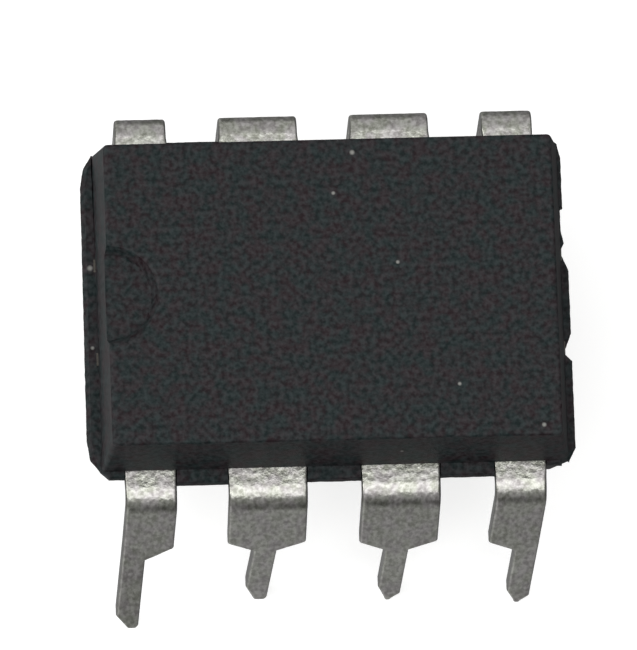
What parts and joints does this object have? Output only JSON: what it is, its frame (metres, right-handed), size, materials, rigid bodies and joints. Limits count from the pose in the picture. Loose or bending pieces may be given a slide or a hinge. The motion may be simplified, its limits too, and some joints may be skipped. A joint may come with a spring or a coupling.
{
  "type": "dual in-line integrated circuit",
  "caption": "Dual in-line integrated circuit: drafted black epoxy body with a half-round end notch, and tinned leads bent down in two rows.",
  "frame": {"origin": "centre of the lead pattern, on the plane where the lead shoulders sit on a board", "axes": "+X along the rows away from the notched end, +Y from the row with lead 1 to the other row, +Z away from the board"},
  "size_m": [0.0095, 0.0089, 0.0067],
  "materials": {
    "epoxy_resin": "matt",
    "tinned_alloy": "satin",
    "frame_alloy": "satin",
    "silver_epoxy": "matt",
    "silicon": "polished",
    "gold": "polished"
  },
  "bodies": {
    "root": {"moulded_body": "epoxy_resin", "lead_1": "tinned_alloy", "lead_2": "tinned_alloy", "lead_3": "tinned_alloy", "lead_4": "tinned_alloy", "lead_5": "tinned_alloy", "lead_6": "tinned_alloy", "lead_7": "tinned_alloy", "lead_8": "tinned_alloy", "die_paddle": "frame_alloy", "die_attach": "silver_epoxy", "silicon_die": "silicon", "bond_wire_1": "gold", "bond_wire_2": "gold", "bond_wire_3": "gold", "bond_wire_4": "gold", "bond_wire_5": "gold", "bond_wire_6": "gold", "bond_wire_7": "gold", "bond_wire_8": "gold"}
  },
  "joints": []
}
